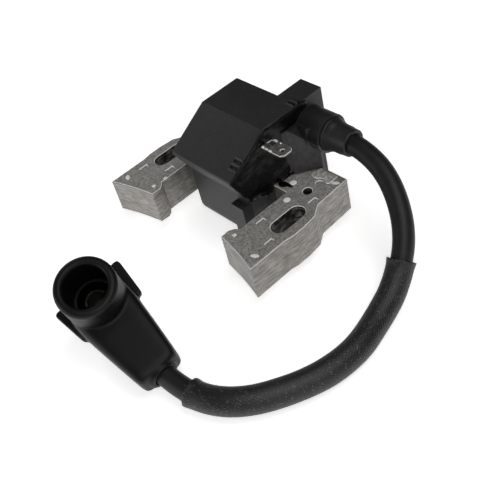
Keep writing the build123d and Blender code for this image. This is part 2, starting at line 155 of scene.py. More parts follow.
def mottle(tree, place, size, hex_low, hex_high, low=0.3, high=0.7, **pattern):
    """Grains run between two colours; gives the noise and the colour."""
    fac = grains(tree, place, size, **pattern)
    return fac, run_colours(tree, fac, hex_low, hex_high, low, high)


def blend_colours(tree, kind, amount, one, other):
    """Mixes two colours; the amount is a number or another node's output."""
    mix = add_node(tree, "ShaderNodeMix", data_type="RGBA", blend_type=kind)
    for index, value in ((0, amount), (6, one), (7, other)):
        if isinstance(value, bpy.types.NodeSocket):
            tree.links.new(value, mix.inputs[index])
        else:
            mix.inputs[index].default_value = value
    return mix.outputs[2]


def raise_bump(tree, shader, height, distance, strength=1.0, under=None):
    """Bump of that many mm on the shader, over an earlier bump if there is one."""
    links = {"Height": height, "Distance": distance * mm, "Strength": strength}
    bump = add_node(tree, "ShaderNodeBump", links)
    if under is not None:
        tree.links.new(under.outputs["Normal"], bump.inputs["Normal"])
    tree.links.new(bump.outputs["Normal"], shader.inputs["Normal"])
    return bump


def vary_roughness(tree, shader, fac, low, high):
    """Roughness that follows a pattern between two values."""
    spread = add_node(tree, "ShaderNodeMapRange", {"Value": fac, "To Min": low, "To Max": high})
    tree.links.new(spread.outputs["Result"], shader.inputs["Roughness"])


def mottled_material(name, surface, size, hexes, bump, rough=None, **pattern):
    """A material of mottled colour; surface is its roughness, metallic and IOR."""
    material, tree, shader, place = new_material(name, *surface)
    fac, colour = mottle(tree, place, size, *hexes, **pattern)
    tree.links.new(colour, shader.inputs["Base Color"])
    if rough:
        vary_roughness(tree, shader, fac, *rough)
    raise_bump(tree, shader, fac, bump)
    return material


def new_piece(name, form, materials, slot, *stands_for, sharp=35.0):
    """Makes a mesh in millimetres into a piece that rides on the coil and stands for CAD nodes."""
    if isinstance(form, bmesh.types.BMesh):
        bmesh.ops.recalc_face_normals(form, faces=form.faces)
        mesh = bpy.data.meshes.new(name)
        form.to_mesh(mesh)
        form.free()
    else:
        mesh = form
        mesh.materials.clear()
    mesh.transform(Matrix.Scale(mm, 4))
    for material in materials:
        mesh.materials.append(material)
    mesh.shade_smooth()
    mesh.set_sharp_from_angle(angle=math.radians(sharp))
    piece = bpy.data.objects.new(name, mesh)
    scene.collection.objects.link(piece)
    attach(piece, "root")
    if stands_for:
        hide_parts(*stands_for)
    return piece


def keep_node(node, material):
    """A CAD node whose shape is right gets its finish."""
    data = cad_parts[node].data
    data.materials.clear()
    data.materials.append(material)


def arc(centre, radius, start, stop, steps):
    """Points along an arc, angles in degrees."""
    angles = [math.radians(start + (stop - start) * i / steps) for i in range(steps + 1)]
    return [Vector(centre) + radius * Vector((math.cos(a), math.sin(a))) for a in angles]


def round_corners(points, radius, steps=4):
    """A closed outline with each corner rounded."""
    rounded = []
    for i, corner in enumerate(points):
        corner = Vector(corner)
        before = Vector(points[i - 1]) - corner
        after = Vector(points[(i + 1) % len(points)]) - corner
        reach = min(radius, 0.45 * before.length, 0.45 * after.length)
        start = corner + before.normalized() * reach
        stop = corner + after.normalized() * reach
        for k in range(steps + 1):
            t = k / steps
            rounded.append(start * (1 - t) ** 2 + corner * 2 * t * (1 - t) + stop * t**2)
    return rounded


def inset_outline(points, inset):
    """Moves a closed outline to its left by that much: inwards if it runs anticlockwise."""
    moved = []
    for i, here in enumerate(points):
        back = (here - points[i - 1]).normalized()
        ahead = (points[(i + 1) % len(points)] - here).normalized()
        normal = Vector((-back.y - ahead.y, back.x + ahead.x)).normalized()
        cosine = max(normal.dot(Vector((-back.y, back.x))), 0.5)
        moved.append(here + normal * inset / cosine)
    return moved


def fill_cap(form, loops):
    """Fills a flat outline and the holes in it."""
    edges = []
    for loop in loops:
        for a, b in zip(loop, loop[1:] + loop[:1]):
            edges.append(form.edges.get((a, b)) or form.edges.new((a, b)))
    return bmesh.ops.triangle_fill(form, use_beauty=True, use_dissolve=False, edges=edges)["geom"]


def add_part(form, part):
    """Adds one mesh to another and frees it."""
    mesh = bpy.data.meshes.new("part")
    part.to_mesh(mesh)
    part.free()
    form.from_mesh(mesh)


def add_plate(form, outlines, rings, pockets=(), wall_index=0, hole_index=0, rim_index=0):
    """A plate: walls through rings of (height, inset), flat caps, and pockets sunk in its top."""
    tops, bottoms = [], []
    for outline in outlines:
        levels = []
        for height, inset in rings:
            levels.append([form.verts.new((*p, height)) for p in inset_outline(outline, inset)])
        for k, (low, high) in enumerate(zip(levels, levels[1:])):
            index = wall_index if outline is outlines[0] else hole_index
            if k == len(levels) - 2:
                index = rim_index
            for i in range(len(low)):
                form.faces.new((low[i - 1], low[i], high[i], high[i - 1])).material_index = index
        bottoms.append(levels[0])
        tops.append(levels[-1])
    fill_cap(form, bottoms)
    top = rings[-1][0]
    for outline, slope in pockets:
        edge = [form.verts.new((*p, top)) for p in outline]
        floor = [form.verts.new((*p, top - pocket_depth)) for p in inset_outline(outline, slope)]
        for i in range(len(edge)):
            form.faces.new((edge[i - 1], edge[i], floor[i], floor[i - 1])).material_index = rim_index
        form.faces.new(floor)
        tops.append(edge)
    fill_cap(form, tops)


def circle(centre, radius, steps=28):
    """Points round a circle."""
    return arc(centre, radius, 0, 360, steps)[:-1]


def core_half(side):
    """Outline, holes and pockets of one half; side is 1 on the right and -1 on the left."""
    start = math.degrees(math.acos(pole_inner_x / flywheel_radius))
    stop = math.degrees(math.acos(pole_outer_x / flywheel_radius))
    pole = arc((0, flywheel_y), flywheel_radius, start, stop, 20)
    heel = [(leg_outer_x, -9.2), (bulge_x, -5.5), (bulge_x, 0.3), (leg_outer_x, 7.0)]
    heel += [(39.3, 12.2), (38.5, yoke_back)]
    toe = [(leg_inner_x, yoke_front), (leg_inner_x, -14.2), (22.2, -15.5), (21.0, -17.5)]
    depth = side * key_depth
    key = [(0, yoke_back), (0, 23.4), (depth, 24.4), (depth, 15.4), (0, 16.4), (0, yoke_front)]
    outer = [Vector(p) for p in [*pole, *heel, *key, *toe]]
    straight = slot_half_length - slot_half_width
    slot = arc((slot_x, straight), slot_half_width, 180, 0, 14)
    slot += arc((slot_x, -straight), slot_half_width, 0, -180, 14)
    hole = circle(hole_at, hole_r)[::-1]
    dx, dy = interlock_half
    corners = [Vector(p) for p in ((-dx, -dy), (dx, -dy), (dx, dy), (-dx, dy))]
    pockets = [([Vector(at) + c for c in corners], interlock_slope) for at in interlocks]
    pockets.append((circle(recess_at, recess_r), 0.15))
    outlines = [outer, slot, hole]
    if side < 0:
        outlines = [[Vector((-p.x, p.y)) for p in loop[::-1]] for loop in outlines]
        pockets = [([Vector((-p.x, p.y)) for p in loop[::-1]], slope) for loop, slope in pockets]
    return outlines, pockets


# Annealed and blued electrical steel: a mid grey oxide skin, patchy, with faint rolling lines.
steel_top, tree, shader, place = new_material("annealed silicon steel sheet", 0.5, 0.25)
_, patches = mottle(tree, place, 7.0, "b3b1ad", "cecbc6", 0.25, 0.75)
specks, speckled = mottle(tree, place, 0.8, "8b8986", "ffffff", 0.34, 0.68, detail=6.0)
_, rolled = mottle(tree, place, 0.6, "d6d4d0", "ffffff", 0.35, 0.65, stretch=(0.04, 1, 1))
skin = blend_colours(tree, "MULTIPLY", 0.85, patches, speckled)
skin = blend_colours(tree, "MULTIPLY", 0.5, skin, rolled)
tree.links.new(skin, shader.inputs["Base Color"])
vary_roughness(tree, shader, specks, 0.38, 0.62)
raise_bump(tree, shader, specks, 0.025)

# Sheared edges of the sheets: raw steel, streaked along each sheet, with a dark line at each joint.
wave_period = 0.314         # a wave texture of scale 1 repeats at this distance, in metres
steel_edge, tree, shader, place = new_material("sheared lamination edges", 0.36, 0.5)
along_sheet = (0.15, 0.15, 1.0)
streaks, streaked = mottle(
    tree, place, 0.6, "8d8a86", "bebbb5", 0.36, 0.64, stretch=along_sheet
)
_, tarnished = mottle(tree, place, 4.0, "b9b6b0", "ffffff", high=0.6)
links = {"Vector": place, "Scale": wave_period / (sheet * mm), "Distortion": 0.0}
joints = add_node(tree, "ShaderNodeTexWave", links, bands_direction="Z")
jointed = run_colours(tree, joints.outputs["Fac"], "63605d", "ffffff", high=0.5)
skin = blend_colours(tree, "MULTIPLY", 0.4, streaked, tarnished)
skin = blend_colours(tree, "MULTIPLY", 0.8, skin, jointed)
tree.links.new(skin, shader.inputs["Base Color"])
vary_roughness(tree, shader, streaks, 0.3, 0.55)
raise_bump(tree, shader, streaks, 0.03)

# The burr where the top sheet was cut, on the top chamfer and the pocket walls: painted near white as
# a highlight, a thin bright line.
steel_burr_highlight = mottled_material(
    "blanking burr painted as highlight", (0.4,), 1.5, ("f2f0ec", "ffffff"), bump=0.03, high=0.6
)

# Inside the slots and holes the edges are painted dark as shade, and only streaks of the higher
# sheets are lighter.
steel_recess_shade = mottled_material(
    "lamination edges painted with recess shade", (0.4, 0.4), 0.9, ("1d1b1a", "8b8883"), bump=0.04,
    stretch=(0.3, 0.3, 0.7), low=0.44, high=0.74,
)

edge_rise = 0.06            # a sheet's rounded lower edge
edge_fall = 0.08            # and its torn upper one
sheets = random.Random(5)
for side, hand in ((1, "right"), (-1, "left")):
    rings = []
    for i in range(round(stack / sheet)):
        proud = sheets.uniform(-sheet_step, sheet_step)
        rings.append((i * sheet, sheet_gap))
        rings.append((i * sheet + edge_rise, -proud))
        rings.append(((i + 1) * sheet - edge_fall, -proud))
    rings[0] = (0.0, burr)
    rings += [(stack - burr, 0.0), (stack, burr)]
    form = bmesh.new()
    outlines, pockets = core_half(side)
    # The top chamfer and the pocket walls take the painted highlight, the slot and hole walls the
    # painted shade.
    add_plate(form, outlines, rings, pockets, wall_index=1, hole_index=3, rim_index=2)
    skins = [steel_top, steel_edge, steel_burr_highlight, steel_recess_shade]
    new_piece(f"laminations_{hand}", form, skins, "core_steel", f"core_half_{hand}")

# ---- Core pins and staked spots ----
# Two steel pins a leg hold the stack together. Their heads, and the spots where the top sheets
# are staked, were burnished by the press tool; they are painted near white as highlights.
pin_spots = [(22.4, 16.0), (27.4, 7.5)]
pin_r = 1.4
oval_stakes = [(39.0, -20.8), (36.3, 25.2)]
oval_half = (1.7, 0.9)
square_stakes = [(24.8, -17.8), (24.5, -11.7)]
square_half = (0.8, 0.8)


def add_dome(form, centre, half, height, turn=0.0, power=2.0, rings=6, steps=28, foot=0.0):
    """A low dome on an oval or squarish foot, with a skirt down to foot below it."""
    levels = []
    for k in range(rings):
        t = math.cos(math.pi / 2 * k / rings)
        lift = height * math.sin(math.pi / 2 * k / rings)
        levels.append((t, lift))
    if foot < 0.0:
        levels.insert(0, (1.0, foot))
    loops = []
    for t, lift in levels:
        loop = []
        for i in range(steps):
            a = 2 * math.pi * i / steps
            c, s = math.cos(a), math.sin(a)
            x = half[0] * t * math.copysign(abs(c) ** (2 / power), c)
            y = half[1] * t * math.copysign(abs(s) ** (2 / power), s)
            px = centre[0] + x * math.cos(turn) - y * math.sin(turn)
            py = centre[1] + x * math.sin(turn) + y * math.cos(turn)
            loop.append(form.verts.new((px, py, centre[2] + lift)))
        loops.append(loop)
    for low, high in zip(loops, loops[1:]):
        for i in range(steps):
            form.faces.new((low[i - 1], low[i], high[i], high[i - 1]))
    tip = form.verts.new((centre[0], centre[1], centre[2] + height))
    for i in range(steps):
        form.faces.new((loops[-1][i - 1], loops[-1][i], tip))
    form.faces.new(loops[0][::-1])


# Burnished steel, painted near white as a highlight: satin, with a few fine scratches.
bright_steel = mottled_material(
    "burnished steel painted as highlight", (0.36,), 0.5, ("e6e4e0", "ffffff"), bump=0.02, rough=(0.3, 0.45),
    stretch=(0.3, 1.6, 1), high=0.6,
)

pins = bmesh.new()
stakes = bmesh.new()
for side in (1, -1):
    for x, y in pin_spots:
        add_dome(pins, (side * x, y, stack), (pin_r, pin_r), 0.22, power=2.3, foot=-stack + 0.1)
    for x, y in oval_stakes:
        add_dome(stakes, (side * x, y, stack), oval_half, 0.12, turn=side * 0.5, foot=-0.1)
    # The right leg has only the square nearer the flywheel
    for x, y in square_stakes[: 1 if side > 0 else 2]:
        add_dome(stakes, (side * x, y, stack), square_half, 0.1, power=5.0, foot=-0.1)
new_piece("stack_pins", pins, [bright_steel], "bright_steel", "core_pins")
new_piece("staked_spots", stakes, [bright_steel], "bright_steel")

# ---- Coil housing ----
# A cup moulded in glass-filled nylon, open at its right end, with a sloping hood, an ear and
# the collar of the high-voltage outlet. The tool was spark eroded, so the skin has a fine grain.
housing, tree, shader, place = new_material("moulded charcoal nylon", 0.52, ior=1.53)
_, toned = mottle(tree, place, 9.0, "232123", "2b282b")
fibre, fibrous = mottle(tree, place, 0.8, "8e8c8e", "ffffff", 0.36, 0.64)
skin = blend_colours(tree, "MULTIPLY", 0.8, toned, fibrous)


def fade(tree, value, start, stop):
    """Runs from 0 to 1 between two places in mm."""
    links = {"Value": value, "From Min": start * mm, "From Max": stop * mm}
    return add_node(tree, "ShaderNodeMapRange", links).outputs[0]


def reckon(tree, kind, one, other):
    """Arithmetic on two values."""
    return add_node(tree, "ShaderNodeMath", {0: one, 1: other}, operation=kind).outputs[0]


# Past the end wall the collar and the gusset are painted near black as shade, and the gusset's
# lower part is painted a lighter grey as light on it. The lit part ends in a line that falls towards
# the back.
lit_line_slope = 1.17
lit_line_top = 60.3            # the line's height at y = 0
spot = add_node(tree, "ShaderNodeSeparateXYZ", {0: place})
past_wall = fade(tree, spot.outputs["X"], 17.4, 18.0)
fallen = reckon(tree, "MULTIPLY", spot.outputs["Y"], lit_line_slope)
level = reckon(tree, "ADD", fallen, spot.outputs["Z"])
below = fade(tree, level, lit_line_top, lit_line_top - 1.0)
ahead_of = fade(tree, spot.outputs["Y"], 36.0, 35.0)
painted_light_part = reckon(tree, "MULTIPLY", past_wall, below)
painted_light_part = reckon(tree, "MULTIPLY", painted_light_part, ahead_of)
_, painted_light_grey = mottle(tree, place, 2.0, "363436", "4c4a4c")
# Painted shade: past the wall the collar and the gusset are near black.
skin = blend_colours(tree, "MIX", past_wall, skin, to_linear("0f0e0f"))
# Painted light: the gusset's lower part is a lighter grey.
skin = blend_colours(tree, "MIX", painted_light_part, skin, painted_light_grey)
tree.links.new(skin, shader.inputs["Base Color"])
vary_roughness(tree, shader, fibre, 0.5, 0.62)
raise_bump(tree, shader, grains(tree, place, 0.6, detail=5.0), 0.05, 0.8)
keep_node("coil_case", housing)

# Pips of plastic stand beside the notches in the rim, where the tool's inserts met
hood_top = 42.2
hood_fold = 10.5
lip_y = -9.3
lip_z = 30.6
slope = math.atan2(hood_top - lip_z, hood_fold - lip_y)
pip_spots = [(-5.4, 32.89), (-3.3, 34.12), (-1.1, 35.4), (29.4, hood_top), (27.1, hood_top)]
pip_x = (13.4, 17.1)
pip_half = 0.32
pip_corners = [(pip_x[0], -pip_half), (pip_x[1], -pip_half), (pip_x[1], pip_half), (pip_x[0], pip_half)]
form = bmesh.new()
for y, z in pip_spots:
    pip = bmesh.new()
    add_plate(pip, [round_corners(pip_corners, 0.2, 3)], [(-0.3, 0.0), (0.22, 0.0), (0.34, 0.12)])
    tilt = Matrix.Rotation(slope if z < hood_top else 0.0, 4, "X")
    pip.transform(Matrix.Translation((0, y, z)) @ tilt)
    add_part(form, pip)

# The closing plate and the pips are painted greyer than the housing as painted light, and are
# duller, with a fine dust grain.
painted_light_nylon, tree, shader, place = new_material("nylon painted lighter as lit", 0.5, ior=1.53)
painted_light_mottle, painted_light_grey = mottle(tree, place, 2.5, "363436", "4e4c4e")
dust, dusty = mottle(tree, place, 0.4, "c8c6c4", "ffffff", 0.35, 0.65)
skin = blend_colours(tree, "MULTIPLY", 0.6, painted_light_grey, dusty)
tree.links.new(skin, shader.inputs["Base Color"])
vary_roughness(tree, shader, painted_light_mottle, 0.35, 0.65)
raise_bump(tree, shader, dust, 0.05, 0.8)
keep_node("end_plate", painted_light_nylon)
new_piece("rim_pips", form, [painted_light_nylon], "housing_plastic")

# ---- Potting compound ----
# Black epoxy poured in at the open end, where it set proud and glossy. It ran over the core and
# the closing plate, so its lower edge is uneven, and it crept up the walls of the cup.
pot_back = 15.9
pot_face = 17.55
pot_skin = 0.8              # only the outer part of the epoxy is shaped
pot_outline = [
    (-4.9, 20.2), (-6.4, 23.6), (-7.9, 26.4), (-9.0, 29.8), (-8.2, 30.9), (-5.2, 32.5), (-2.0, 34.5),
    (1.2, 36.2), (5.0, 38.6), (8.2, 40.3), (10.9, 41.7), (15.0, 41.3), (20.0, 41.5), (25.0, 41.2),
    (28.2, 41.6), (31.0, 42.0), (33.6, 41.4), (34.6, 40.0), (33.8, 38.4), (30.5, 37.4), (27.7, 35.2),
    (26.0, 31.5), (25.8, 28.0), (24.6, 24.0), (24.3, 18.6), (23.2, 16.0), (20.6, 15.25), (17.0, 15.2),
    (13.0, 15.2), (10.6, 15.0), (10.0, 13.4), (8.8, 12.1), (7.6, 12.9), (6.4, 11.9), (5.0, 13.4),
    (3.7, 13.5), (2.2, 15.3), (0.9, 14.7), (-0.4, 15.3), (-1.5, 14.2), (-2.3, 15.0), (-3.0, 17.2),
]


def edge_distance(point, outline):
    """Distance from a point in the plane to the nearest side of an outline."""
    nearest = 1e9
    for a, b in zip(outline, outline[1:] + outline[:1]):
        side = b - a
        t = clamp((point - a).dot(side) / side.length_squared)
        nearest = min(nearest, (point - a - side * t).length)
    return nearest


def clamp(value, low=0.0, high=1.0):
    """The value, held between two limits."""
    return max(low, min(high, value))


def settle(name, form, voxel, smoothing, cutter=None):
    """Welds overlapping solids into one skin, softens it and cuts it if there is a cutter."""
    bmesh.ops.recalc_face_normals(form, faces=form.faces)
    mesh = bpy.data.meshes.new(name)
    form.to_mesh(mesh)
    form.free()
    rough = bpy.data.objects.new(name + "_rough", mesh)
    scene.collection.objects.link(rough)
    weld = rough.modifiers.new("weld", "REMESH")
    weld.mode = "VOXEL"
    weld.voxel_size = voxel
    soften = rough.modifiers.new("soften", "SMOOTH")
    soften.factor = 0.5
    soften.iterations = smoothing
    if cutter is not None:
        blade = bpy.data.objects.new(name + "_cutter", cutter)
        scene.collection.objects.link(blade)
        bore = rough.modifiers.new("cut", "BOOLEAN")
        bore.operation = "DIFFERENCE"
        bore.solver = "EXACT"
        bore.object = blade
    bpy.context.view_layer.update()
    shaped = rough.evaluated_get(bpy.context.evaluated_depsgraph_get())
    settled = bpy.data.meshes.new_from_object(shaped)
    settled.name = name
    bpy.data.objects.remove(rough)
    if cutter is not None:
        bpy.data.objects.remove(blade)
    return settled


smooth_outline = round_corners(pot_outline, 1.2, 3)
form = bmesh.new()
back = [form.verts.new((pot_back, p.x, p.y)) for p in smooth_outline]
front = [form.verts.new((pot_face, p.x, p.y)) for p in smooth_outline]
for i in range(len(back)):
    form.faces.new((back[i - 1], back[i], front[i], front[i - 1]))
fill_cap(form, [back])
fill_cap(form, [front])
pot_mesh = settle("potting", form, 0.32, 2)
# The face has a rounded shoulder, a belly low down, a hollow high up at the front, and ripples.
belly_z = 17.5
hollow_z = 24.0
coarse_outline = [Vector(p) for p in pot_outline]
for vertex in pot_mesh.vertices:
    x, y, z = vertex.co
    if x > pot_face - pot_skin:
        inside = edge_distance(Vector((y, z)), coarse_outline)
        crown = 0.40 * (1 - math.exp(-inside / 0.8)) - 0.25
        belly = math.exp(-((z - belly_z) / 3.0) ** 2) * (1 - math.exp(-inside / 1.4))
        crown += belly * clamp((y - 4.0) / 8.0, 0.3)
        hollow = clamp((inside - 1.6) / 1.6) * clamp((z - hollow_z) / 6.0) * clamp((16.0 - y) / 4.0)
        crown -= 0.5 * hollow
        crown += 0.22 * noise.noise(Vector((y, z, 3.0)) * 0.25)
        crown += 0.05 * noise.noise(Vector((y, z, 7.0)) * 0.7)
        vertex.co.x = x + crown * min(1.0, (x - pot_face + pot_skin) / 0.5)

# Set epoxy: black and glossy, with a skin that is a little wavy and a few dull specks.
potting, tree, shader, place = new_material("set black potting epoxy", 0.25, ior=1.3)
cloud, clouded = mottle(tree, place, 3.0, "030303", "070607")
tree.links.new(clouded, shader.inputs["Base Color"])
specks = grains(tree, place, 0.9, detail=6.0)
vary_roughness(tree, shader, specks, 0.2, 0.4)
wavy = raise_bump(tree, shader, cloud, 0.12, 0.3)
raise_bump(tree, shader, specks, 0.03, 0.6, under=wavy)
new_piece("potting_face", pot_mesh, [potting], "potting_epoxy", sharp=60.0)
keep_node("potting", potting)

# A drip at the back of the face ran round the gusset's foot, and a bead set over a lead's end;
# the two thin flat black patches on the core's top are a painted shadow.
form = bmesh.new()
for at, size in (
    ((18.9, 22.4, 16.4), (1.9, 2.1, 2.3)),
    ((18.0, 20.4, 16.0), (1.3, 2.6, 1.3)),
    ((17.6, 16.6, 15.6), (1.1, 3.2, 0.9)),
    ((16.9, 5.4, 31.6), (0.9, 1.2, 1.0)),
    # The last two are flat black patches on the core's top: a painted shadow.
    ((19.6, 13.2, 15.05), (2.2, 1.6, 0.22)),
    ((21.6, 14.0, 15.02), (2.4, 0.9, 0.14)),
):
    bead = bmesh.ops.create_uvsphere(form, u_segments=28, v_segments=18, radius=1.0)["verts"]
    for vertex in bead:
        wobble = 1 + 0.12 * noise.noise(vertex.co * 1.7 + Vector(at))
        vertex.co = Vector([c + s * k * wobble for c, s, k in zip(at, size, vertex.co)])
new_piece("potting_drips_and_shadow_patches", form, [potting], "potting_epoxy")

# ---- Stop terminal ----
# A 6.3 mm blade blanked from 0.8 mm tinned brass and soldered at its root, where a small window
# lets the solder through.
blade_z = 34.6
blade_t = 0.8
blade_top = blade_z + blade_t
blade_root = 8.0
blade_tip = 28.5
blade_hole = (25.6, 11.65)
blade_outline = [(blade_root, 8.5), (27.2, 8.5), (blade_tip, 9.8), (blade_tip, 13.5), (27.2, 14.8)]
blade_outline.append((blade_root, 14.8))
window_outline = [(17.4, 11.2), (20.3, 11.2), (20.3, 13.9), (17.4, 13.9)]
strap = [(17.2, 10.7), (20.6, 10.7), (20.6, 11.3), (17.2, 11.3)]
root = [(blade_root, 9.65), (8.8, 9.65), (8.8, 13.65), (blade_root, 13.65)]

# Hot tin dip over brass: soft white metal, cloudy, finely drawn along the blade.
tinned, tree, shader, place = new_material("hot dipped tin on brass", 0.4, 0.5)
dip, dipped = mottle(tree, place, 2.2, "6c6a67", "9b9894")
drawn, drawn_lines = mottle(tree, place, 0.3, "9a9790", "f4f2ec", stretch=(0.08, 1, 1))
skin = blend_colours(tree, "MULTIPLY", 0.7, dipped, drawn_lines)
tree.links.new(skin, shader.inputs["Base Color"])
vary_roughness(tree, shader, dip, 0.36, 0.56)
raise_bump(tree, shader, drawn, 0.02)

# Bright tin solder, also put on the top edges of the blade and the earth tab as a painted highlight.
solder_and_edge_highlight = mottled_material(
    "bright tin solder and painted edge highlight", (0.25,), 0.5, ("e8e6e2", "ffffff"), bump=0.04, rough=(0.15, 0.35),
    high=0.6,
)

form = bmesh.new()
outlines = [
    round_corners(blade_outline, 0.35),
    circle(blade_hole, 0.85)[::-1],
    round_corners(window_outline[::-1], 0.3),
]
edge = [(blade_z, 0.12), (blade_z + 0.12, 0.0), (blade_top - 0.16, 0.0), (blade_top, 0.16)]
# The top chamfer round the blade, its hole and its window is in the solder's near white: a painted
# highlight.
add_plate(form, outlines, edge, rim_index=1)
# The strap over the window, and the turned-down root
add_plate(form, [round_corners(strap, 0.2)], [(35.3, 0.0), (35.75, 0.0), (35.9, 0.12)])
add_plate(form, [[Vector(p) for p in root]], [(27.6, 0.0), (blade_z + 0.1, 0.0)])
new_piece("stop_blade", form, [tinned, solder_and_edge_highlight], "tinned_brass", "stop_terminal")

form = bmesh.new()
for x, y, half, height in (
    (18.0, 8.9, (0.75, 0.6), 0.5),
    (22.0, 8.8, (0.8, 0.5), 0.4),
    (19.3, 14.4, (1.1, 0.45), 0.4),
    (22.1, 14.3, (0.45, 0.4), 0.35),
    (19.9, 9.0, (0.9, 0.3), 0.25),
):
    add_dome(form, (x, y, blade_top - 0.02), half, height)
new_piece("solder_spots", form, [solder_and_edge_highlight], "tinned_brass")

# ---- Earth tab ----
# A tongue of 0.6 mm plated steel laid on the back of the right leg. Its front edge is scalloped
# round the recess in the core, and a punch staked it to the leg.
tab_top = 15.6

# Zinc plate over steel: blotchy, lighter where it was rubbed bright.
plated = mottled_material(
    "rubbed zinc plate", (0.35, 0.05), 1.3, ("989692", "dbd9d5"), bump=0.06, rough=(0.5, 0.28),
    low=0.36, high=0.64, detail=3.0,
)

scallops = [(24.9, 24.4), (25.4, 23.2), (26.8, 22.6), (27.8, 22.3), (28.5, 22.7)]
scallops += [(p.x, p.y) for p in arc(recess_at, 2.4, 150, 40, 9)]
tab_outline = [(25.9, 28.2), *scallops, (33.6, 22.7), (34.4, 22.5), (35.1, 23.4), (34.9, 28.2)]
form = bmesh.new()
stamped = round_corners(tab_outline, 0.3, 2)
# The tongue's top chamfer is in the solder's near white: a painted highlight.
add_plate(form, [stamped], [(stack, 0.0), (tab_top - 0.2, 0.0), (tab_top, 0.2)], rim_index=1)
add_dome(form, (28.2, 25.6, tab_top), (1.5, 0.3), 0.16, turn=0.3, power=4.0, foot=-0.1)
add_dome(form, (31.6, 25.9, tab_top), (1.2, 0.3), 0.16, turn=-0.2, power=4.0, foot=-0.1)
new_piece("earth_tongue", form, [plated, solder_and_edge_highlight], "tinned_brass", "earth_tab")

# ---- High-voltage outlet ----
# A soft cap moulded in rubber plugs the collar and seals the cable. Its lip and the collar's
# rim are rounded, and a moulding ridge runs round it.
tower_y = 33.5
tower_z = 30.2
outlet = Matrix.Translation((0, tower_y, tower_z)) @ Matrix.Rotation(math.pi / 2, 4, "Y")


def add_lathe(form, profile, placing, steps=64, closed=False):
    """Turns a profile of (radius, distance) about the placing's own Z."""
    angles = [2 * math.pi * i / steps for i in range(steps)]
    loops = []
    for radius, along in profile:
        if radius == 0.0:
            loops.append([form.verts.new(placing @ Vector((0, 0, along)))])
            continue
        ring = [(radius * math.cos(a), radius * math.sin(a), along) for a in angles]
        loops.append([form.verts.new(placing @ Vector(p)) for p in ring])
    for low, high in zip(loops, loops[1:] + (loops[:1] if closed else [])):
        for i in range(steps):
            if len(low) == 1:
                form.faces.new((low[0], high[i], high[i - 1]))
            elif len(high) == 1:
                form.faces.new((low[i - 1], low[i], high[0]))
            else:
                form.faces.new((low[i - 1], low[i], high[i], high[i - 1]))


def fillet_points(centre, radius, start, stop, steps=5):
    """Points of a rounded edge in a profile, angles in degrees."""
    return [(p.x, p.y) for p in arc(centre, radius, start, stop, steps)]


# EPDM cap: dull black with a bloom that greys it where it was handled.
cap_rubber, tree, shader, place = new_material("moulded EPDM cap", 0.5, ior=1.5)
bloom, bloomed = mottle(tree, place, 4.0, "100f10", "1b1a1b")
tree.links.new(bloomed, shader.inputs["Base Color"])
vary_roughness(tree, shader, bloom, 0.4, 0.58)
raise_bump(tree, shader, grains(tree, place, 0.5, detail=5.0), 0.04, 0.8)
bush_r = 4.05               # fits the cable
spigot_r = 5.2              # the cap's tail, inside the collar
pin_bore_r = 0.95
cap_profile = [(bush_r, 34.0), (bush_r, 40.3), *fillet_points((4.9, 40.0), 0.5, 150, 0)]
cap_profile += [(5.45, 38.2), (5.7, 36.8), (5.75, 33.6), (6.1, 32.4), (6.6, 31.2)]
cap_profile += [*fillet_points((6.3, 29.9), 0.6, 60, 0), (6.9, 29.3), (spigot_r, 29.3)]
cap_profile += [(spigot_r, 22.0), (pin_bore_r, 22.0), (pin_bore_r, 34.0)]
form = bmesh.new()
add_lathe(form, cap_profile, outlet, closed=True)
new_piece("outlet_cap", form, [cap_rubber], "cap_rubber", "tower_cap")
form = bmesh.new()
rim_profile = [(7.0, 29.2), (7.76, 28.2), (7.8, 28.7)]
rim_profile += [*fillet_points((7.3, 28.95), 0.48, 0, 110), (6.75, 29.35)]
add_lathe(form, rim_profile, outlet, closed=True)
new_piece("collar_rim", form, [housing], "housing_plastic")

# ---- High-tension cable ----
# An 8 mm suppression cable: a stranded core in extruded rubber. It leaves the cap straight, drops
# beside the core and runs round to the boot.
neck = Vector((42.8, -71.6, 0.2))
elbow = Vector((6.8, -69.7, 10.7))
boot_axis = (elbow - neck).normalized()
lead_r = 4.0
core_wire_r = 1.2
lead_depth = 10.0
lead_in = 6.5
route = [
    Vector((34.0, tower_y, tower_z)),
    Vector((44.5, tower_y, tower_z)),
    Vector((61.0, 29.6, 25.7)),
    Vector((76.1, 18.8, 15.5)),
    Vector((80.8, 6.0, 2.8)),
    Vector((83.0, -7.0, -1.6)),
    Vector((86.6, -23.3, -1.6)),
    Vector((83.3, -41.6, -1.6)),
    Vector((70.3, -64.5, -0.7)),
    neck - boot_axis * lead_in,
    neck + boot_axis * lead_depth,
]


def lay_cable(name, radius):
    """A smooth curve that the route's points control."""
    curve = bpy.data.curves.new(name, "CURVE")
    curve.dimensions = "3D"
    spline = curve.splines.new("NURBS")
    spline.points.add(len(route) - 1)
    for point, at in zip(spline.points, route):
        point.co = (*(at * mm), 1.0)
    spline.order_u = 3
    spline.use_endpoint_u = True
    curve.resolution_u = 24
    curve.bevel_depth = radius * mm
    curve.bevel_resolution = 12
    curve.use_fill_caps = True
    cable = bpy.data.objects.new(name, curve)
    scene.collection.objects.link(cable)
    return cable


# The line that the cable follows, for the pieces along it
guide = lay_cable("guide", 0.0)
bpy.context.view_layer.update()
guide_mesh = bpy.data.meshes.new_from_object(guide)
line = [vertex.co / mm for vertex in guide_mesh.vertices]
bpy.data.objects.remove(guide)

